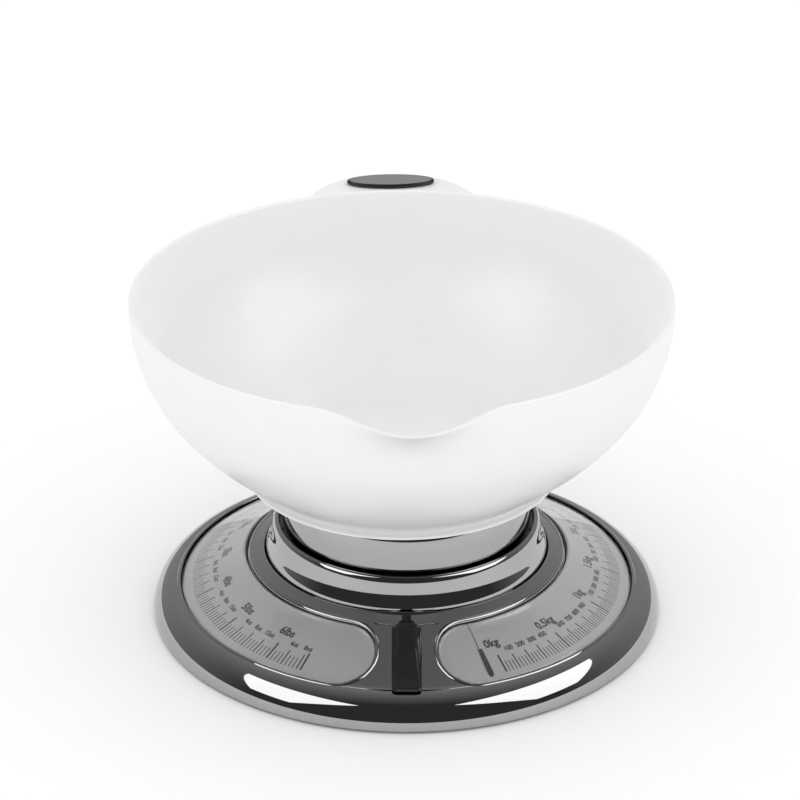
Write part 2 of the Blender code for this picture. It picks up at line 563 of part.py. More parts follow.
def chassis():
    """Chassis plate, spindle bridge and the rear upright that carries the two arms."""
    holes = [circle(1.6 * MM, 16, spot) for spot in PILLARS] + [circle(2.2 * MM)]
    middle = (PLATE_Z[0] + PLATE_Z[1]) / 2
    extruded("chassis_plate", [circle(PLATE_R, BASE_STEPS)] + holes, PLATE_Z[1] - PLATE_Z[0], STEEL,
             Matrix.Translation((0, 0, middle)))
    floor = PLATE_Z[1] + GAP
    bridge = [(-12 * MM, floor), (-10.8 * MM, floor), (-10.8 * MM, 39 * MM), (12.4 * MM, 39 * MM), (12.4 * MM, floor),
              (13.6 * MM, floor), (13.6 * MM, 40.2 * MM), (-12 * MM, 40.2 * MM)]
    stand = Matrix(((1, 0, 0, 0), (0, 0, -1, 0), (0, 1, 0, 0), (0, 0, 0, 1)))
    spindle_bridge = extruded("spindle_bridge", [bridge], 5 * MM, STEEL, stand)
    boolean(spindle_bridge, rod("bridge_bore", (0, 0, 30 * MM), (0, 0, 45 * MM), 1.8 * MM, None, helpers))
    top = ARM_Z["upper"] + 2.8 * MM
    ears = box("frame_upright", (-20.4 * MM, 38.4 * MM, floor), (20.4 * MM, 45.6 * MM, top), STEEL)
    boolean(ears, box("upright_room", (-19.0 * MM, 30 * MM, floor + 1.2 * MM), (19.0 * MM, 50 * MM, 70 * MM), None, helpers))
    for level, z in ARM_Z.items():
        boolean(ears, rod(f"upright_bore_{level}", (-30 * MM, ARM_REAR_Y, z), (30 * MM, ARM_REAR_Y, z), 1.5 * MM, None, helpers))
        rod(f"{level}_rear_pin", (-21 * MM, ARM_REAR_Y, z), (21 * MM, ARM_REAR_Y, z), PIN_R, STEEL)


def arms_and_carrier():
    """The two arms that keep the platform level, and the bracket that hangs from the platform."""
    front_y = ARM_REAR_Y - ARM_LENGTH * math.cos(ARM_RISE)
    half = 2.5 * MM
    for level, z in ARM_Z.items():
        rails = box(f"{level}_arm", (-RAIL_X - 0.6 * MM, -ARM_LENGTH - 3.2 * MM, -half), (RAIL_X + 0.6 * MM, 3.2 * MM, half), STEEL)
        boolean(rails, box(f"{level}_arm_gap", (-RAIL_X + 0.6 * MM, -ARM_LENGTH - 9 * MM, -9 * MM),
                           (RAIL_X - 0.6 * MM, -13 * MM, 9 * MM), None, helpers))
        boolean(rails, box(f"{level}_arm_rear", (-RAIL_X + 0.6 * MM, -6 * MM, -9 * MM), (RAIL_X - 0.6 * MM, 9 * MM, 9 * MM),
                           None, helpers))
        boolean(rails, box(f"{level}_arm_web", (-RAIL_X + 0.6 * MM, -13.5 * MM, -9 * MM), (RAIL_X - 0.6 * MM, -5.5 * MM, half - 1.2 * MM),
                           None, helpers))
        boolean(rails, rod(f"{level}_arm_bore", (-30 * MM, 0, 0), (30 * MM, 0, 0), 1.5 * MM, None, helpers))
        boolean(rails, rod(f"{level}_arm_eye", (-30 * MM, -ARM_LENGTH, 0), (30 * MM, -ARM_LENGTH, 0), 1.7 * MM, None, helpers))
        place = Matrix.Translation((0, ARM_REAR_Y, z)) @ Matrix.Rotation(-ARM_RISE, 4, "X")
        for piece in [rails] + [m.object for m in rails.modifiers]:
            piece.matrix_world = place @ piece.matrix_world
        pin_z = z + TRAVEL / 2
        rod(f"{level}_front_pin", (-20.5 * MM, front_y, pin_z), (20.5 * MM, front_y, pin_z), PIN_R, STEEL)
    low = ARM_Z["lower"] + TRAVEL / 2 - 3.0 * MM
    high = PLATFORM_Z - PLATFORM_THICK - GAP
    carrier = box("carrier_bracket", (-16.2 * MM, front_y - 4 * MM, low), (16.2 * MM, front_y + 4 * MM, high), STEEL)
    boolean(carrier, box("carrier_room", (-15 * MM, front_y - 9 * MM, low - 9 * MM), (15 * MM, front_y + 9 * MM, high - 1.2 * MM),
                         None, helpers))
    for level, z in ARM_Z.items():
        boolean(carrier, rod(f"carrier_bore_{level}", (-30 * MM, front_y, z + TRAVEL / 2), (30 * MM, front_y, z + TRAVEL / 2),
                             1.5 * MM, None, helpers))


def springs():
    low, high = PLATE_Z[1] + GAP, PLATFORM_Z - PLATFORM_THICK - GAP
    for side, word in ((1, "right"), (-1, "left")):
        helix(f"main_spring_{word}", SPRING_R, SPRING_WIRE, 7, (side * SPRING_X, 0, low), (side * SPRING_X, 0, high),
              SPRING_STEEL)


# ---------------------------------------------------------------- platform and bowl

def platform():
    """Chrome weighing platform: a plain skirt that rounds over into a flat top."""
    top = PLATFORM_Z
    centre_r = SKIRT_R - SHOULDER_IN
    rise = top - SHOULDER_Z
    profile = [(0.0, top)] + arc(centre_r, SHOULDER_Z, SHOULDER_IN, rise, 90, 0, 6) + [(SKIRT_R, SKIRT_BOTTOM)]
    profile += [(SKIRT_R - SKIRT_WALL, SKIRT_BOTTOM)]
    profile += arc(centre_r, SHOULDER_Z, SHOULDER_IN - SKIRT_WALL, rise - PLATFORM_THICK, 0, 90, 4)
    profile += [(0.0, top - PLATFORM_THICK)]
    turned("platform", profile, CHROME)


def bowl_outer(fraction):
    """Outside of the bowl's wall as (r, z), from the rim (0) towards the bottom (1)."""
    angle = fraction * math.pi / 2
    return (BOWL_R * math.cos(angle) ** (2 / 1.345), BOWL_RIM_Z - BOWL_DROP * math.sin(angle) ** (2 / 2.245))


def bowl_profile():
    outer = [bowl_outer(0.001)] + [bowl_outer(f) for f in (0.06, 0.13, 0.2, 0.28, 0.36, 0.44, 0.51)]
    inner = []
    for (r0, z0), (r1, z1) in zip(outer, outer[1:]):
        length = math.hypot(r1 - r0, z1 - z0)
        normal = ((z1 - z0) / length, (r0 - r1) / length)
        inner.append(((r0 + r1) / 2 + normal[0] * BOWL_WALL, (z0 + z1) / 2 + normal[1] * BOWL_WALL))
    inner[0] = (BOWL_R - BOWL_WALL, BOWL_RIM_Z)
    floor = PLATFORM_Z + GAP
    foot = [(67.0 * MM, FOOT_RING_Z + 2.2 * MM), (FOOT_RING_R, FOOT_RING_Z + 0.9 * MM), (FOOT_RING_R, FOOT_RING_Z),
            (66.6 * MM, FOOT_RING_Z), (66.6 * MM, floor), (0.0, floor)]
    inside = [(0.0, floor + BOWL_WALL), (FLOOR_R, floor + BOWL_WALL)] + inner[::-1]
    outside = [p for p in outer if p[1] > FOOT_RING_Z + 4 * MM]
    return outside + foot + inside


def bowl():
    """Clear bowl: turned, then its rim drawn out and down into a pouring lip; the handle lug is joined on."""
    bm = bmesh.new()
    profile = bowl_profile()
    verts = [bm.verts.new((0.0, -r, z)) for r, z in profile]
    for first, second in zip(verts, verts[1:] + verts[:1]):
        if min(first.co.y, second.co.y) < -1e-6:
            bm.edges.new((first, second))
    bmesh.ops.spin(bm, geom=list(bm.verts) + list(bm.edges), axis=(0, 0, 1), cent=(0, 0, 0), steps=BOWL_STEPS,
                   angle=2 * math.pi)
    bmesh.ops.remove_doubles(bm, verts=bm.verts, dist=1e-6)
    reach, band = math.radians(20), 26 * MM
    for vert in bm.verts:
        heading = math.atan2(vert.co.x, -vert.co.y)
        height = (vert.co.z - BOWL_RIM_Z + band) / band
        if abs(heading) < reach and height > 0:
            pull = math.cos(heading / reach * math.pi / 2) ** 2 * height ** 2
            vert.co.x += math.sin(heading) * LIP_REACH * pull
            vert.co.y -= math.cos(heading) * LIP_REACH * pull
            vert.co.z -= LIP_DIP * pull
    bmesh.ops.recalc_face_normals(bm, faces=bm.faces)
    mesh = bpy.data.meshes.new("bowl")
    bm.to_mesh(mesh)
    bm.free()
    body = add("bowl", mesh, BOWL)
    place = Matrix.Translation((BOWL_OFFSET_X, 0, 0)) @ Matrix.Rotation(BOWL_TURN, 4, "Z")
    body.matrix_world = place
    lug = extruded("handle_lug", [circle(LUG_R, 40)], LUG_THICK, None,
                   place @ Matrix.Translation((0, LUG_CENTRE, LUG_TOP - LUG_THICK / 2)), helpers)
    inside = turned("bowl_mouth", [(0.0, 170 * MM), (BOWL_R - BOWL_WALL / 2, 170 * MM), (BOWL_R - BOWL_WALL / 2, 140 * MM),
                                   (0.0, 140 * MM)], None, BOWL_STEPS, helpers)
    inside.matrix_world = place
    boolean(lug, inside)
    boolean(body, lug, "UNION")
    oval = [(x * GRIP_HALF[0], y * GRIP_HALF[1]) for x, y in circle(1.0, 32)]
    extruded("handle_grip", [oval], GRIP_THICK, GRIP_GREY,
             place @ Matrix.Translation((0, GRIP_CENTRE, LUG_TOP + GAP + GRIP_THICK / 2)))


base_shell()
bottom_pan()
feet_and_screws()
windows()
column_collar()
dial_and_lever()
pointer_and_drive()
rack()
bell_crank()
chassis()
arms_and_carrier()
springs()
platform()
bowl()
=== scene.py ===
"""Looks of a mechanical kitchen scale: chrome base and column, printed cone dial under clear windows,
black zero lever and a pale lift-off bowl. Metres, +Z up, the front faces -Y.
Headings are measured about +Z from the front, positive to the right (+X)."""

import json
import math

import bmesh
import bpy
from mathutils import Matrix, Vector


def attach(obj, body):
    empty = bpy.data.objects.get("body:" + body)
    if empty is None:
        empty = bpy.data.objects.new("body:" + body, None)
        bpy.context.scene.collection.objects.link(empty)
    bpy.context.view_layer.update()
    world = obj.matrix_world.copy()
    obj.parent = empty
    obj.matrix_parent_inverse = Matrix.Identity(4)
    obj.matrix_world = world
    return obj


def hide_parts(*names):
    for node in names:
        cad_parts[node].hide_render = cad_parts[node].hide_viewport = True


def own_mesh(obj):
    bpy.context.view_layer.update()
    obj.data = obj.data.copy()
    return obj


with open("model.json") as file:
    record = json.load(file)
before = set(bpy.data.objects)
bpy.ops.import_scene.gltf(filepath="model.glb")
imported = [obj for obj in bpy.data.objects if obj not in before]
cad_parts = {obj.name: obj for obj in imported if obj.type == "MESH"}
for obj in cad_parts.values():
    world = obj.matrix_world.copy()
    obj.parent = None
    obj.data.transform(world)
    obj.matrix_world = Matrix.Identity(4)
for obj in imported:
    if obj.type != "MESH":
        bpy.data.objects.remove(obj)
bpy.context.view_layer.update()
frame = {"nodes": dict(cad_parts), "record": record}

MM = 0.001
CREST_R = 102.7             # millimetres from here on: the crest of the rim, where the dial cone starts
CREST_Z = 14.6
CONE_SLOPE = 0.4327
RIM_ROUND = 12.8
SHELL_WALL = 1.2
WINDOW_MID_R = 87.3
WINDOW_HALF = 15.6
WINDOW_END = 19.4           # degrees
DIAL_DEPTH = 3.0
RIM_BASE_Z = 1.6            # where the bullnose starts to curve
DIAL_INNER_R = 66
DIAL_OUTER_R = 100.8
DIAL_THICK = 1.2
SLOT_HALF = 8.0             # the slot in the shell for the zero lever's neck
SLOT_OUTER_R = 71
POINTER_HEADING = 22.2      # degrees
SPRING_X = 32.0
STEPS = 240                 # facets round the turned pieces
BOWL_R = 120.0
BOWL_RIM_Z = 154.9
BOWL_DROP = 107.2
BOWL_PLACE = Matrix.Translation((-2.0 * MM, 0, 0)) @ Matrix.Rotation(math.radians(2.3), 4, "Z")


def cone_z(radius, depth=0.0):
    return CREST_Z + CONE_SLOPE * (CREST_R - radius) - depth


def shell_z(radius):
    """Height of the chrome shell: the dial cone inside the crest, the bullnose outside it."""
    if radius <= CREST_R:
        return cone_z(radius)
    return RIM_BASE_Z + (CREST_Z - RIM_BASE_Z) * math.sqrt(1 - ((radius - CREST_R) / RIM_ROUND) ** 2)


def at(radius, heading, z):
    """A point in metres from a radius and height in millimetres and a heading in degrees."""
    turn = math.radians(heading)
    return Vector((radius * math.sin(turn), -radius * math.cos(turn), z)) * MM


# ---------------------------------------------------------------- modelling helpers

def clear_selection():
    bpy.ops.object.select_all(action="DESELECT")


def active(obj):
    clear_selection()
    obj.select_set(True)
    bpy.context.view_layer.objects.active = obj
    return obj


def named(obj, name):
    obj.name = name
    obj.data.name = name
    return obj


def smooth(obj, angle=35):
    active(obj)
    bpy.ops.object.shade_smooth_by_angle(angle=math.radians(angle))
    return obj


def facing_out(obj):
    active(obj)
    bpy.ops.object.mode_set(mode="EDIT")
    bpy.ops.mesh.select_all(action="SELECT")
    bpy.ops.mesh.normals_make_consistent(inside=False)
    bpy.ops.object.mode_set(mode="OBJECT")
    return obj


def arc(centre_r, centre_z, radius_r, radius_z, start, end, count):
    angles = [math.radians(start + (end - start) * i / (count - 1)) for i in range(count)]
    return [(centre_r + radius_r * math.cos(a), centre_z + radius_z * math.sin(a)) for a in angles]


def turned(name, profile, steps=STEPS, ring=True):
    """A circle extruded ring by ring along a profile of (radius, height) in millimetres.
    A ring profile is bridged back to its start; any other is capped at both ends."""
    clear_selection()
    first_r, first_z = profile[0]
    bpy.ops.mesh.primitive_circle_add(vertices=steps, radius=first_r * MM, location=(0, 0, first_z * MM))
    obj = named(bpy.context.object, name)
    bpy.ops.object.transform_apply(location=True, rotation=False, scale=False)
    bpy.ops.object.mode_set(mode="EDIT")
    bpy.ops.mesh.select_all(action="SELECT")
    for (r0, z0), (r1, z1) in zip(profile, profile[1:]):
        bpy.ops.mesh.extrude_region_move(TRANSFORM_OT_translate={"value": (0, 0, (z1 - z0) * MM)})
        bpy.ops.transform.resize(value=(r1 / r0, r1 / r0, 1), center_override=(0, 0, 0))
    if not ring:
        bpy.ops.mesh.edge_face_add()
    bm = bmesh.from_edit_mesh(obj.data)
    bm.verts.ensure_lookup_table()
    last = len(bm.verts) - steps
    for vert in bm.verts:
        vert.select = vert.index < steps or (ring and vert.index >= last)
    bm.select_flush(True)
    bmesh.update_edit_mesh(obj.data)
    if ring:
        bpy.ops.mesh.bridge_edge_loops()
    else:
        bpy.ops.mesh.edge_face_add()
    bpy.ops.object.mode_set(mode="OBJECT")
    return facing_out(obj)


def skinned(name, loops, ring=False, caps=True):
    """A skin over loops of points in metres, each loop with the same count of points."""
    bm = bmesh.new()
    rows = [[bm.verts.new(p) for p in loop] for loop in loops]
    pairs = list(zip(rows, rows[1:])) + ([(rows[-1], rows[0])] if ring else [])
    for a, b in pairs:
        for i in range(len(a)):
            j = (i + 1) % len(a)
            bm.faces.new((a[i], a[j], b[j], b[i]))
    if caps and not ring:
        bm.faces.new(rows[0])
        bm.faces.new(rows[-1])
    bmesh.ops.remove_doubles(bm, verts=bm.verts, dist=2e-5)
    bmesh.ops.recalc_face_normals(bm, faces=bm.faces)
    mesh = bpy.data.meshes.new(name)
    bm.to_mesh(mesh)
    bm.free()
    obj = bpy.data.objects.new(name, mesh)
    bpy.context.scene.collection.objects.link(obj)
    return obj


def cut(obj, tool, operation="DIFFERENCE"):
    """A Boolean with its tool, applied; the tool is then removed."""
    active(obj)
    mod = obj.modifiers.new("cut", "BOOLEAN")
    mod.operation = operation
    mod.solver = "EXACT"
    mod.object = tool
    bpy.ops.object.modifier_apply(modifier=mod.name)
    bpy.data.objects.remove(tool, do_unlink=True)
    return obj


def joined(name, objects):
    active(objects[0])
    for obj in objects[1:]:
        obj.select_set(True)
    if len(objects) > 1:
        bpy.ops.object.join()
    return named(bpy.context.object, name)


def kidney(side, half, height, bend=14, along=90):
    """One loop round a window, half wide on each side of its centre line; height gives z from the radius."""
    start, end = WINDOW_END, 180 - WINDOW_END
    sweep = [start + (end - start) * i / along for i in range(along + 1)]
    spots = [(WINDOW_MID_R + half, h) for h in sweep]
    points = [at(r, side * h, 0) for r, h in spots]
    for centre_heading, order in ((end, 1), (start, -1)):
        turn = math.radians(centre_heading)
        out_way = Vector((side * math.sin(turn), -math.cos(turn), 0))
        along_way = Vector((side * math.cos(turn), math.sin(turn), 0))
        centre = out_way * WINDOW_MID_R * MM
        for i in range(1, bend + 1):
            t = math.pi * i / (bend + 1)
            points.append(centre + (out_way * math.cos(t) + along_way * math.sin(t)) * half * order * MM)
        if order == 1:
            points += [at(WINDOW_MID_R - half, side * h, 0) for h in reversed(sweep)]
    for point in points:
        point.z = height(math.hypot(point.x, point.y) / MM) * MM
    return points


# ---------------------------------------------------------------- finishes

def node(tree, kind, **inputs):
    made = tree.nodes.new(kind)
    for key, value in inputs.items():
        if key in made.inputs:
            made.inputs[key].default_value = value
    return made


def finish(name, colour, roughness, metallic=0.0, grain=900.0, colour_change=0.06, rough_change=0.05, bump=0.0,
           stretch=(1, 1, 1), ior=1.46, transmission=0.0, gloss=0.5):
    """A finish with fine variation of colour, roughness and relief in object space."""
    mat = bpy.data.materials.new(name)
    mat.use_nodes = True
    tree = mat.node_tree
    shader = tree.nodes["Principled BSDF"]
    shader.inputs["Metallic"].default_value = metallic
    shader.inputs["IOR"].default_value = ior
    shader.inputs["Specular IOR Level"].default_value = gloss
    shader.inputs["Transmission Weight"].default_value = transmission
    place = tree.nodes.new("ShaderNodeTexCoord")
    mapping = tree.nodes.new("ShaderNodeMapping")
    mapping.inputs["Scale"].default_value = stretch
    tree.links.new(place.outputs["Object"], mapping.inputs["Vector"])
    noise = node(tree, "ShaderNodeTexNoise", Scale=grain, Detail=4.0, Roughness=0.6)
    tree.links.new(mapping.outputs["Vector"], noise.inputs["Vector"])
    ramp = tree.nodes.new("ShaderNodeValToRGB")
    ramp.color_ramp.elements[0].position = 0.3
    ramp.color_ramp.elements[1].position = 0.7
    ramp.color_ramp.elements[0].color = (*[c * (1 - colour_change) for c in colour], 1)
    ramp.color_ramp.elements[1].color = (*[min(1.0, c * (1 + colour_change)) for c in colour], 1)
    tree.links.new(noise.outputs["Fac"], ramp.inputs["Fac"])
    tree.links.new(ramp.outputs["Color"], shader.inputs["Base Color"])
    spread = tree.nodes.new("ShaderNodeMapRange")
    spread.inputs["To Min"].default_value = max(0.0, roughness - rough_change)
    spread.inputs["To Max"].default_value = min(1.0, roughness + rough_change)
    tree.links.new(noise.outputs["Fac"], spread.inputs["Value"])
    tree.links.new(spread.outputs["Result"], shader.inputs["Roughness"])
    if bump:
        relief = tree.nodes.new("ShaderNodeBump")
        relief.inputs["Strength"].default_value = bump
        relief.inputs["Distance"].default_value = 0.1 * MM
        tree.links.new(noise.outputs["Fac"], relief.inputs["Height"])
        tree.links.new(relief.outputs["Normal"], shader.inputs["Normal"])
    return mat


CHROME = finish("bright chrome", (0.42, 0.42, 0.43), 0.035, 1.0, grain=25.0, colour_change=0.02, rough_change=0.012)
SATIN = finish("satin silver print ground", (0.40, 0.40, 0.40), 0.42, 0.35, grain=2600.0, colour_change=0.05,
               rough_change=0.06, bump=0.06)
PRINT = finish("black dial print", (0.008, 0.008, 0.008), 0.6, grain=3000.0, colour_change=0.2)
GLOSS_BLACK = finish("gloss black plastic", (0.014, 0.014, 0.015), 0.07, grain=400.0, colour_change=0.15,
                     rough_change=0.02)
CLEAR = finish("clear window plastic", (1.0, 1.0, 1.0), 0.012, grain=40.0, colour_change=0.01, rough_change=0.008,
               transmission=1.0, gloss=0.3)
PALE = finish("pale bowl plastic", (0.83, 0.83, 0.83), 0.3, grain=60.0, colour_change=0.008, rough_change=0.03,
              bump=0.01)
GRIP = finish("grey grip rubber", (0.21, 0.21, 0.21), 0.62, grain=2200.0, colour_change=0.12, rough_change=0.08,
              bump=0.25)
STEEL = finish("zinc plated steel", (0.60, 0.60, 0.57), 0.34, 1.0, grain=300.0, colour_change=0.1, rough_change=0.1,
               stretch=(1, 8, 1), bump=0.05)
WIRE = finish("drawn spring wire", (0.42, 0.43, 0.45), 0.3, 1.0, grain=900.0, colour_change=0.12, rough_change=0.08,
              stretch=(1, 1, 6), bump=0.05)
BRASS = finish("turned brass", (0.76, 0.58, 0.28), 0.28, 1.0, grain=500.0, colour_change=0.08, rough_change=0.08,
               stretch=(1, 1, 12), bump=0.06)
MOULDED = finish("moulded grey plastic", (0.16, 0.16, 0.165), 0.52, grain=1500.0, colour_change=0.1, rough_change=0.08,
                 bump=0.2)
FOOT_RUBBER = finish("black foot rubber", (0.03, 0.03, 0.03), 0.75, grain=1800.0, colour_change=0.2, rough_change=0.1,
                     bump=0.3)
FLOOR = finish("pale floor", (0.92, 0.92, 0.92), 0.75, grain=30.0, colour_change=0.004, rough_change=0.03)


def wear(obj, mat, body=None, stands_for=()):
    """Gives a new piece its finish, its body and the CAD nodes it stands for."""
    obj.data.materials.clear()
    obj.data.materials.append(mat)
    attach(obj, body)
    if stands_for:
        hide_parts(*stands_for)
    return obj


# ---------------------------------------------------------------- base

def base_shell():
    outer = [(64.4, 29.4), (64.4, 30.5), (64.7, 30.85), (65.2, 30.88), (65.7, 30.65)]
    outer += [(r, cone_z(r)) for r in (66.6, 72, 78, 84, 90, 96, 101.6)]
    outer += arc(CREST_R, RIM_BASE_Z, RIM_ROUND, CREST_Z - RIM_BASE_Z, 89, 0, 40)
    outer += [(115.45, 1.2), (115.2, 1.0), (114.4, 1.0), (114.2, 1.2)]
    inner = arc(CREST_R, RIM_BASE_Z, RIM_ROUND - SHELL_WALL, CREST_Z - RIM_BASE_Z - SHELL_WALL, 0, 90, 14)
    inner += [(65.6, cone_z(65.6, SHELL_WALL)), (65.6, 29.4)]
    shell = turned("chrome_base_shell", outer + inner)
    for side in (1, -1):
        low = kidney(side, WINDOW_HALF, lambda r: 5.0)
        high = kidney(side, WINDOW_HALF, lambda r: 40.0)
        cut(shell, skinned("opening", [low, high]))
    slot = [(-SLOT_HALF, -SLOT_OUTER_R), (SLOT_HALF, -SLOT_OUTER_R), (SLOT_HALF, -60), (-SLOT_HALF, -60)]
    cut(shell, skinned("slot", [[Vector((x, y, z)) * MM for x, y in slot] for z in (20.0, 40.0)]))
    smooth(shell, 32)
    wear(shell, CHROME, "base", ["base_shell"])
    for side, word in ((1, "right"), (-1, "left")):
        edge = [(1.7, -0.05), (1.45, 0.2), (1.1, 0.38), (0.7, 0.44), (0.3, 0.36), (0.05, 0.12), (-0.05, -0.2),
                (-0.05, -1.1), (0.5, -1.1)]
        loops = [kidney(side, WINDOW_HALF + out, lambda r, up=up: shell_z(r) + up) for out, up in edge]
        rim = skinned(f"chrome_window_rim_{word}", loops, ring=True)
        smooth(rim, 50)
        wear(rim, CHROME, "base")


def windows():
    for side, word in ((1, "right"), (-1, "left")):
        top = [(0.01, 0.6), (4, 0.6), (8, 0.6), (11, 0.6), (13.3, 0.6), (14.2, 0.66), (14.75, 0.86), (15.1, 1.15),
               (15.2, 1.45)]
        under = [(15.2, 1.9), (14.9, 2.0), (11, 2.0), (6, 2.0), (0.01, 2.0)]
        loops = [kidney(side, half, lambda r, deep=deep: cone_z(r, deep)) for half, deep in top + under]
        lens = skinned(f"clear_window_{word}", loops, caps=False)
        smooth(lens, 60)
        wear(lens, CLEAR, "base", [f"{word}_window"])


def column_collar():
    profile = [(63.9, 29.2), (63.9, 31.2), (63.78, 31.9), (63.55, 32.7), (63.2, 33.6), (62.75, 34.6), (62.3, 35.5),
               (61.8, 36.7), (61.45, 37.9), (61.15, 39.3), (60.85, 41.0), (60.55, 42.7), (60.25, 43.9), (59.9, 44.7),
               (59.4, 45.25), (58.85, 45.52), (58.3, 45.6), (57.9, 45.45), (57.6, 45.1), (57.5, 44.6), (57.5, 30.2),
               (52, 30.2), (52, 29.2)]
    collar = smooth(turned("chrome_collar", profile), 40)
    wear(collar, CHROME, "base", ["column_collar"])


def platform():
    profile = [(10, 70.5)] + arc(46, 55.8, 10, 14.7, 90, 0, 26) + [(56, 48), (56, 42.1), (55.8, 41.8)]
    profile += [(54.6, 41.8), (54.4, 42.1)] + arc(46, 55.8, 8.4, 12.7, 0, 90, 12) + [(10, 68.5)]
    top = smooth(turned("chrome_platform", profile, ring=False), 40)
    wear(top, CHROME, "weighing_platform", ["platform"])


# ---------------------------------------------------------------- dial

def on_dial(radius, heading, lift=0.0):
    """Matrix of a spot on the dial: X runs with the heading, Y towards the column, Z out of the face."""
    turn = math.radians(heading)
    right = Vector((math.cos(turn), math.sin(turn), 0))
    up = Vector((-math.sin(turn), math.cos(turn), CONE_SLOPE)).normalized()
    out = right.cross(up)
    spot = at(radius, heading, cone_z(radius, DIAL_DEPTH)) + out * lift * MM
    return Matrix((right, up, out)).transposed().to_4x4(), spot


def marks(name, ticks):
    """Printed lines on the dial, each (heading, inner radius, outer radius, width)."""
    bm = bmesh.new()
    for heading, inner, outer, width in ticks:
        turn, spot = on_dial((inner + outer) / 2, heading, 0.02)
        length = (outer - inner) * math.hypot(1, CONE_SLOPE)
        size = Matrix.Diagonal((width * MM, length * MM, 0.03 * MM, 1))
        bmesh.ops.create_cube(bm, size=1.0, matrix=Matrix.Translation(spot) @ turn @ size)
    mesh = bpy.data.meshes.new(name)
    bm.to_mesh(mesh)
    bm.free()
    obj = bpy.data.objects.new(name, mesh)
    bpy.context.scene.collection.objects.link(obj)
    return obj


def words(name, labels):
    """Printed words on the dial, each (text, heading, radius, size, boldness), read from outside the base."""
    made = []
    for text, heading, radius, size, bold in labels:
        clear_selection()
        bpy.ops.object.text_add()
        obj = bpy.context.object
        obj.data.body = text
        obj.data.size = size * MM
        obj.data.align_x = "CENTER"
        obj.data.align_y = "CENTER"
        obj.data.offset = bold * MM
        obj.data.extrude = 0.015 * MM
        obj.data.resolution_u = 3
        bpy.ops.object.convert(target="MESH")
        turn, spot = on_dial(radius, heading, 0.02)
        obj.data.transform(Matrix.Translation(spot) @ turn @ Matrix.Diagonal((0.86, 1, 1, 1)))
        made.append(obj)
    return joined(name, made)


def dial():
    face = [(r, cone_z(r, DIAL_DEPTH)) for r in (DIAL_INNER_R, 78, 90, DIAL_OUTER_R)]
    back = [(r, cone_z(r, DIAL_DEPTH + DIAL_THICK)) for r in (DIAL_OUTER_R, DIAL_INNER_R)]
    ground = turned("dial_ground", face + back)
    smooth(ground, 30)
    wear(ground, SATIN, "zero_dial", ["dial_ring"])
    kg_zero, kg_step, lb_zero, oz_step = 26.5, 1.05, -153.3, 1.19
    kg_ticks, lb_ticks = [], []
    for i in range(121):
        heading = kg_zero + i * kg_step
        if i % 20 == 0:
            kg_ticks.append((heading, 88.6, 97.3, 0.85))
        elif i % 4 == 0:
            kg_ticks.append((heading, 89.9, 97.3, 0.6))
        else:
            kg_ticks.append((heading, 92.2, 97.3, 0.42))
    for i in range(106):
        heading = lb_zero + i * oz_step
        if i % 16 == 0 or i == 105:
            lb_ticks.append((heading, 88.6, 97.3, 0.85))
        elif i % 4 == 0:
            lb_ticks.append((heading, 89.9, 97.3, 0.6))
        else:
            lb_ticks.append((heading, 92.2, 97.3, 0.42))
    wear(marks("kilogram_lines", kg_ticks), PRINT, "zero_dial")
    wear(marks("pound_lines", lb_ticks), PRINT, "zero_dial")
    kg_words, lb_words = [], []
    for i, text in enumerate(("0kg", "0.5kg", "1kg", "1.5kg", "2kg", "2.5kg", "3kg")):
        kg_words.append((text, kg_zero + i * 20 * kg_step, 82.5, 5.8, 0.2))
    for i in range(4, 120, 4):
        grams = i * 25 % 1000
        if grams % 500:
            kg_words.append((str(grams), kg_zero + i * kg_step, 86.7, 3.5, 0.13))
    for i in range(0, 105, 4):
        heading = lb_zero + i * oz_step
        pounds, ounces = divmod(i, 16)
        if ounces == 0:
            lb_words.append((f"{pounds}lb" + ("s" if pounds > 1 else ""), heading, 82.5, 5.8, 0.2))
        else:
            lb_words.append((f"{ounces}oz", heading, 86.7, 3.3, 0.13))
    wear(words("kilogram_words", kg_words), PRINT, "zero_dial")
    wear(words("pound_words", lb_words), PRINT, "zero_dial")


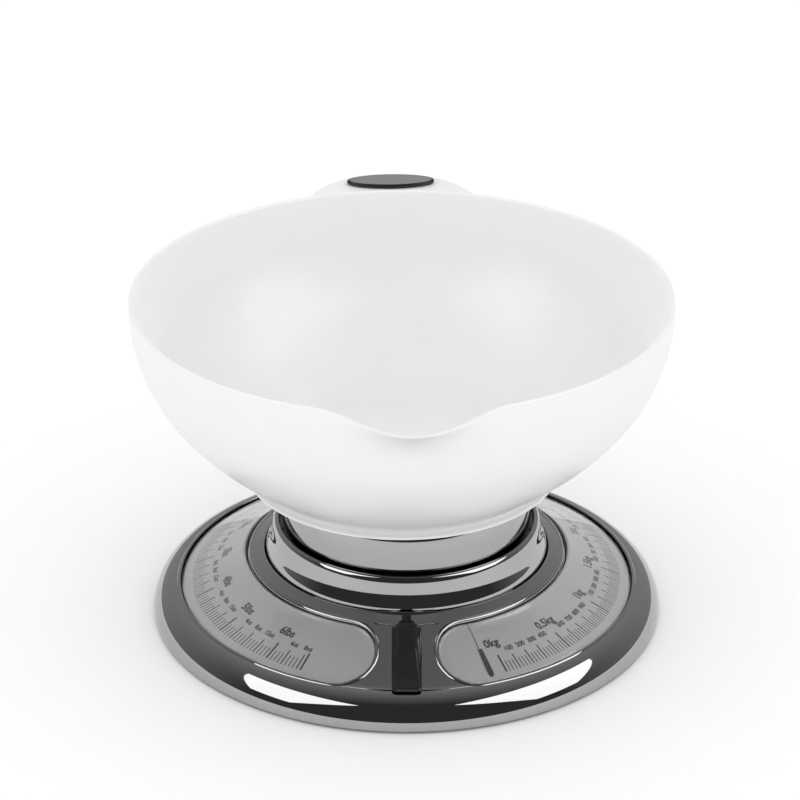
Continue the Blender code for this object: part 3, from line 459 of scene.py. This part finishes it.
def zero_lever():
    """A wedge with a raised ridge, lofted from its tall inner end to its thin rounded outer end."""
    def section(radius, half, ridge, height):
        low = (cone_z(radius) if radius < CREST_R - 1 else CREST_Z + 0.1) + 0.5
        side = [(half, 0.0), (half, 0.3 * height), (half - 0.25, 0.42 * height), (half - 0.9, 0.5 * height),
                (ridge + 0.7, 0.56 * height), (ridge + 0.15, 0.7 * height), (ridge - 0.1, 0.92 * height),
                (ridge - 0.5, height), (ridge * 0.5, height)]
        points = side + [(-x, z) for x, z in reversed(side)]
        return [Vector((x, -radius, low + z)) * MM for x, z in points]

    stations = [(73.0, 5.2, 2.6, 3.4), (73.25, 5.9, 3.1, 4.1), (74.0, 6.4, 3.6, 4.5), (77, 6.5, 3.75, 4.6),
                (84, 6.5, 4.15, 3.8), (92, 6.5, 4.7, 3.0), (99, 6.5, 5.3, 2.35), (102.6, 6.5, 5.5, 2.1),
                (104.4, 6.3, 5.3, 1.9), (105.1, 5.8, 4.8, 1.6), (105.45, 4.9, 3.9, 1.1)]
    lever = skinned("black_zero_lever", [section(*s) for s in stations])
    stem = [Vector((x, y, 0)) * MM for x, y in ((-2, -74.4), (2, -74.4), (2, -66.4), (-2, -66.4))]
    tops, feet = [], []
    for p in stem:
        radius = -p.y / MM
        tops.append(Vector((p.x, p.y, (cone_z(radius) + 0.5) * MM)))
        depth = -0.4 if radius > SLOT_OUTER_R else DIAL_DEPTH - 0.3
        feet.append(Vector((p.x, p.y, cone_z(radius, depth) * MM)))
    neck = skinned("lever_neck", [feet, tops])
    lever = joined("black_zero_lever", [lever, neck])
    smooth(lever, 28)
    wear(lever, GLOSS_BLACK, "zero_dial", ["zero_lever"])


def slot_cover():
    """A thin chrome apron at the lever's inner end, which hides the slot that the lever's neck turns in."""
    half_angle, count = 11.3, 24
    edge = [(64.75, 0.22), (64.75, 0.36), (65.1, 0.42), (71.2, 0.42), (71.2, 0.22)]
    loops = []
    for i in range(count + 1):
        heading = -half_angle + 2 * half_angle * i / count
        loops.append([at(r, heading, cone_z(r, -up)) for r, up in edge])
    cover = smooth(skinned("chrome_slot_cover", loops), 30)
    wear(cover, CHROME, "zero_dial")


def pointer():
    """Two-ended pointer: plain silver arms below the dial's words, black tips over the lines."""
    def blade(stations, thick=0.4):
        turn = Matrix.Rotation(math.radians(POINTER_HEADING), 4, "Z")
        loops = []
        for radius, half, z in stations:
            loops.append([turn @ (Vector((x, -radius, z + up)) * MM) for x, up in
                          ((half, 0), (half, thick), (-half, thick), (-half, 0))])
        return loops

    def dial_height(radius):
        return cone_z(radius, 2.7)

    arm = [(5.5, 0.3, 28.0), (65.3, 0.3, 28.0), (84.6, 0.3, dial_height(84.6))]
    tip = [(84.6, 0.75, dial_height(84.6)), (88, 0.95, dial_height(88)), (96.6, 1.15, dial_height(96.6)),
           (97.4, 1.0, dial_height(97.4)), (97.9, 0.7, dial_height(97.9)), (98.1, 0.35, dial_height(98.1))]
    arms, tips = [], []
    for half_turn in (0, math.pi):
        for name, stations, store in (("pointer_arm", arm, arms), ("pointer_tip", tip, tips)):
            made = skinned(name, blade(stations))
            made.data.transform(Matrix.Rotation(half_turn, 4, "Z"))
            store.append(made)
    disc = turned("pointer_disc", [(1.8, 28.0), (6, 28.0), (6, 28.4), (1.8, 28.4)], 48)
    body = smooth(joined("silver_pointer_arms", [disc] + arms), 30)
    wear(body, SATIN, "pointer_spindle", ["pointer"])
    wear(smooth(joined("black_pointer_tips", tips), 30), PRINT, "pointer_spindle")


# ---------------------------------------------------------------- bowl

def bowl():
    def outside(fraction):
        angle = fraction * math.pi / 2
        return (BOWL_R * math.cos(angle) ** (2 / 1.345), BOWL_RIM_Z - BOWL_DROP * math.sin(angle) ** (2 / 2.245))

    wall = 2.2
    outer = [outside(0.012 + 0.498 * (i / 35) ** 1.2) for i in range(36)]
    inner = []
    for i in range(2, len(outer) - 1):
        (r0, z0), (r1, z1) = outer[i - 1], outer[i + 1]
        length = math.hypot(r1 - r0, z1 - z0)
        inner.append((outer[i][0] + (z1 - z0) / length * wall, outer[i][1] + (r0 - r1) / length * wall))
    inner = [p for p in inner if p[1] < BOWL_RIM_Z - 1.4]
    rim = [(117.75, 153.6), (117.95, 154.4), (118.4, 154.8), (118.9, 154.9), (119.5, 154.75), (119.8, 154.3)]
    foot = [(67.6, 73.0), (67.0, 72.1), (67.4, 71.5), (68.6, 71.2), (69.9, 71.0), (70.3, 70.75), (70.4, 70.4),
            (70.3, 70.05), (69.9, 69.9), (67.2, 69.9), (66.8, 70.05), (66.6, 70.4),
            (66.3, 70.75), (65.5, 70.8), (10, 70.8)]
    floor = [(10, 73.0), (58, 73.0), (62, 73.15), (65.5, 73.9), (68.5, 75.4)]
    profile = foot[::-1] + [p for p in outer[::-1] if p[1] > 74.5] + rim[::-1] + inner + floor[::-1]
    body = turned("pale_bowl", profile, 288, ring=False)
    reach, band = math.radians(20), 26.0
    for vert in body.data.vertices:
        heading = math.atan2(vert.co.x, -vert.co.y)
        height = (vert.co.z / MM - BOWL_RIM_Z + band) / band
        if abs(heading) < reach and height > 0:
            pull = math.cos(heading / reach * math.pi / 2) ** 2 * height ** 2 * MM
            vert.co.x += math.sin(heading) * 14.0 * pull
            vert.co.y -= math.cos(heading) * 14.0 * pull
            vert.co.z -= 3.7 * pull
    lug_profile = [(5, 150.1)] + arc(39.9, 151.3, 1.1, 1.2, -90, 90, 9) + [(5, 152.5)]
    lug = turned("handle_lug", lug_profile, 160, ring=False)
    lug.data.transform(Matrix.Translation((0, 105.3 * MM, 0)))
    mouth = turned("mouth", [(118.6, 140.0), (118.6, 165.0)], 192, ring=False)
    cut(lug, mouth)
    body = joined("pale_bowl", [body, lug])
    body.data.transform(BOWL_PLACE)
    smooth(body, 45)
    wear(body, PALE, "lift_off_bowl", ["bowl"])
    body.visible_glossy = False


def handle_grip():
    def oval(grow, z, count=72):
        half_x, half_y, centre_y = 20.7 - grow, 7.2 - grow, 133.0
        turns = [2 * math.pi * i / count for i in range(count)]
        return [Vector((half_x * math.cos(t), half_y * math.sin(t) + centre_y, z)) * MM for t in turns]

    edge = [oval(g, z) for g, z in ((1.0, 152.8), (0.2, 152.85), (0.0, 153.1), (0.0, 154.0), (0.25, 154.35),
                                    (0.8, 154.5), (1.2, 154.5))]
    ring = skinned("grip_edge", edge)
    top = skinned("grip_top", [oval(g, z) for g, z in ((1.2, 154.3), (1.2, 154.55), (1.5, 154.68), (3.5, 154.7))])
    for obj in (ring, top):
        obj.data.transform(BOWL_PLACE)
        smooth(obj, 40)
    wear(ring, GLOSS_BLACK, "lift_off_bowl", ["handle_grip"])
    wear(top, GRIP, "lift_off_bowl")


# ---------------------------------------------------------------- carried-over pieces

def carried_over():
    """Finishes for the CAD pieces; those that nothing replaces are seen with the shape they have."""
    by_slot = {"plated_steel": STEEL, "spring_steel": WIRE, "brass": BRASS, "grey_plastic": MOULDED,
               "rubber": FOOT_RUBBER, "chrome": CHROME, "silver_dial": SATIN, "black_plastic": GLOSS_BLACK,
               "grip_rubber": GRIP, "clear_window": CLEAR, "pale_bowl": PALE}
    for part in frame["record"]["subparts"]:
        obj = frame["nodes"][part["node"]]
        obj.data.materials.clear()
        obj.data.materials.append(by_slot[part["material_slot"]])


def main_springs():
    """The two main springs, as fine coils."""
    coil_r, wire, turns, low, high = 7.5, 0.8, 7, 32.3, 68.2
    for side, word in ((1, "right"), (-1, "left")):
        clear_selection()
        bpy.ops.mesh.primitive_circle_add(vertices=14, radius=wire * MM, location=(coil_r * MM, 0, (low + wire) * MM),
                                          rotation=(math.radians(90), 0, 0))
        coil = named(bpy.context.object, f"spring_coil_{word}")
        bpy.ops.object.transform_apply(location=True, rotation=True, scale=False)
        winding = coil.modifiers.new("winding", "SCREW")
        winding.iterations = turns
        winding.steps = winding.render_steps = 28
        winding.screw_offset = (high - low - 2 * wire) / turns * MM
        winding.use_merge_vertices = False
        bpy.ops.object.modifier_apply(modifier=winding.name)
        bpy.ops.object.mode_set(mode="EDIT")
        bpy.ops.mesh.select_all(action="SELECT")
        bpy.ops.mesh.fill_holes(sides=14)
        bpy.ops.object.mode_set(mode="OBJECT")
        coil.data.transform(Matrix.Translation((side * SPRING_X * MM, 0, 0)))
        smooth(facing_out(coil), 60)
        wear(coil, WIRE, "base", [f"main_spring_{word}"])
        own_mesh(coil)


# ---------------------------------------------------------------- room

def floor():
    clear_selection()
    bpy.ops.mesh.primitive_plane_add(size=9.0, location=(0, 0, -0.0002))
    obj = named(bpy.context.object, "floor")
    bpy.ops.object.transform_apply(location=True, rotation=False, scale=False)
    obj.data.materials.append(FLOOR)


def softbox(name, centre, width, depth, strength):
    """A flat overhead light whose middle is at centre, in metres, facing straight down."""
    lamp = bpy.data.lights.new(name, "AREA")
    lamp.shape = "RECTANGLE"
    lamp.size = width
    lamp.size_y = depth
    lamp.energy = strength * math.pi * width * depth
    obj = bpy.data.objects.new(name, lamp)
    obj.location = centre
    bpy.context.scene.collection.objects.link(obj)
    return obj


def lights():
    """Two overhead softboxes that only reflections see, and an even white sky that lights every matt surface."""
    height = 1.0
    right = softbox("right_softbox", (1.75, -0.63, height), 2.6, 1.2, 2.2)
    right.rotation_euler = (0, 0, math.radians(-25))
    left = softbox("left_softbox", (-1.48, -0.80, height), 2.1, 0.95, 2.2)
    left.rotation_euler = (0, 0, math.radians(30))
    for lamp in (right, left):
        lamp.visible_diffuse = False
    world = bpy.data.worlds.new("studio")
    bpy.context.scene.world = world
    world.use_nodes = True
    tree = world.node_tree
    place = tree.nodes.new("ShaderNodeTexCoord")
    split = tree.nodes.new("ShaderNodeSeparateXYZ")
    tree.links.new(place.outputs["Generated"], split.inputs["Vector"])
    depth = tree.nodes.new("ShaderNodeMapRange")
    depth.inputs["From Min"].default_value = -0.35
    depth.inputs["From Max"].default_value = 0.95
    depth.inputs["To Min"].default_value = 0.05
    depth.inputs["To Max"].default_value = 0.38
    tree.links.new(split.outputs["Y"], depth.inputs["Value"])
    dark = tree.nodes["Background"]
    tree.links.new(depth.outputs["Result"], dark.inputs["Color"])
    sky = tree.nodes.new("ShaderNodeBackground")
    sky.inputs["Color"].default_value = (1.0, 1.0, 1.0, 1)
    sky.inputs["Strength"].default_value = 1.2
    ray = tree.nodes.new("ShaderNodeLightPath")
    either = tree.nodes.new("ShaderNodeMath")
    either.operation = "MAXIMUM"
    tree.links.new(ray.outputs["Is Diffuse Ray"], either.inputs[0])
    tree.links.new(ray.outputs["Is Transmission Ray"], either.inputs[1])
    blend = tree.nodes.new("ShaderNodeMixShader")
    tree.links.new(either.outputs["Value"], blend.inputs["Fac"])
    tree.links.new(dark.outputs["Background"], blend.inputs[1])
    tree.links.new(sky.outputs["Background"], blend.inputs[2])
    tree.links.new(blend.outputs["Shader"], tree.nodes["World Output"].inputs["Surface"])


def camera():
    lens = bpy.data.cameras.new("camera")
    lens.lens = 151.55
    lens.sensor_width = 36.0
    lens.clip_end = 50.0
    obj = bpy.data.objects.new("camera", lens)
    obj.location = (-0.00288, -1.34886, 0.76144)
    obj.rotation_euler = (math.radians(63.98), 0, 0)
    bpy.context.scene.collection.objects.link(obj)
    bpy.context.scene.camera = obj
    bpy.context.scene.view_settings.view_transform = "Standard"


carried_over()
main_springs()
base_shell()
windows()
column_collar()
platform()
dial()
zero_lever()
slot_cover()
pointer()
bowl()
handle_grip()
floor()
lights()
camera()
